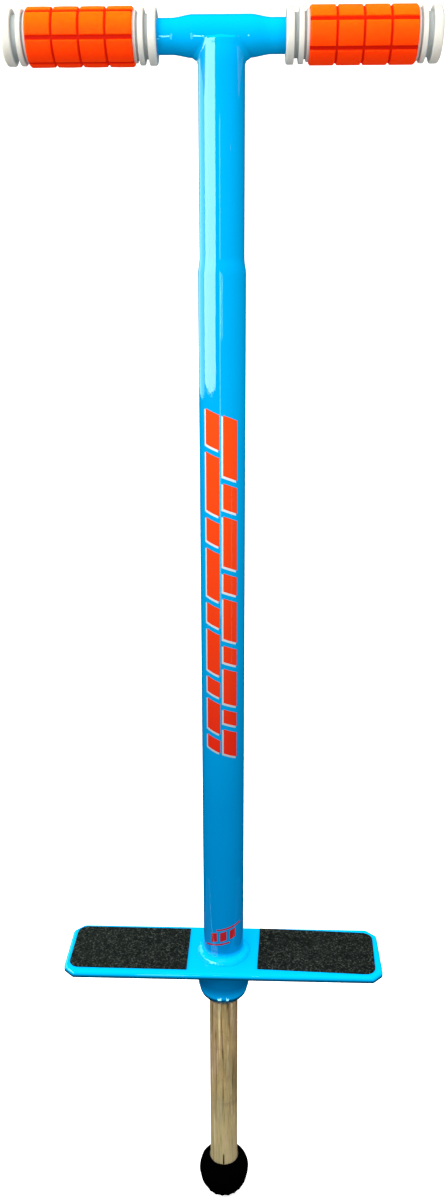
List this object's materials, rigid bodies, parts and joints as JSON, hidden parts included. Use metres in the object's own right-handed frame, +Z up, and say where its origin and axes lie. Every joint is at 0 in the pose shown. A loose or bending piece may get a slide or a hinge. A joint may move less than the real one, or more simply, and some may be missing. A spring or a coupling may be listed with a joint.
{
  "type": "pogo stick",
  "caption": "Spring pogo stick with a swaged tube, welded T handlebar with block grips, folded foot plate and a sprung plunger on a rubber tip.",
  "frame": {"origin": "the point where the rubber tip touches the ground, under the axis of the tube", "axes": "+X along the handlebar to the rider's right, +Y away from the rider, +Z up the tube"},
  "size_m": [0.2956, 0.0718, 1.0123],
  "materials": {
    "blue_paint": "gloss",
    "white_plastic": "satin",
    "orange_rubber": "satin",
    "grip_tape": "gritty",
    "nylon": "satin",
    "black_rubber": "matte",
    "zinc_steel": "zinc plated",
    "spring_steel": "oiled",
    "plated_steel": "yellow zinc plated"
  },
  "bodies": {
    "frame": {"main_tube": "blue_paint", "handlebar": "blue_paint", "handlebar_weld": "blue_paint", "left_grip_core": "white_plastic", "right_grip_core": "white_plastic", "left_grip_sleeve": "orange_rubber", "right_grip_sleeve": "orange_rubber", "foot_plate": "blue_paint", "plate_weld": "blue_paint", "left_tread": "grip_tape", "right_tread": "grip_tape", "lower_cup": "blue_paint", "cup_weld": "blue_paint", "lower_bushing": "nylon", "rebound_bumper": "black_rubber", "upper_spring_seat": "zinc_steel", "main_spring": "spring_steel"},
    "spring_follower": {"lower_spring_seat": "zinc_steel"},
    "plunger": {"plunger_guide": "nylon", "plunger_tube": "plated_steel", "stop_collar": "zinc_steel", "stop_pin": "spring_steel", "tip_washer": "zinc_steel", "rubber_tip": "black_rubber"}
  },
  "joints": [
    {"name": "plunger_slide", "type": "slide", "parent": "frame", "child": "spring_follower", "axis": [0, 0, 1], "range_m": [0, 0.12], "stiffness_N_per_m": 9700, "springref_m": -0.015, "deforming": ["main_spring"]},
    {"name": "plunger_spin", "type": "hinge", "parent": "spring_follower", "child": "plunger", "pos_m": [0, 0, 0.446], "axis": [0, 0, 1], "continuous": true}
  ]
}
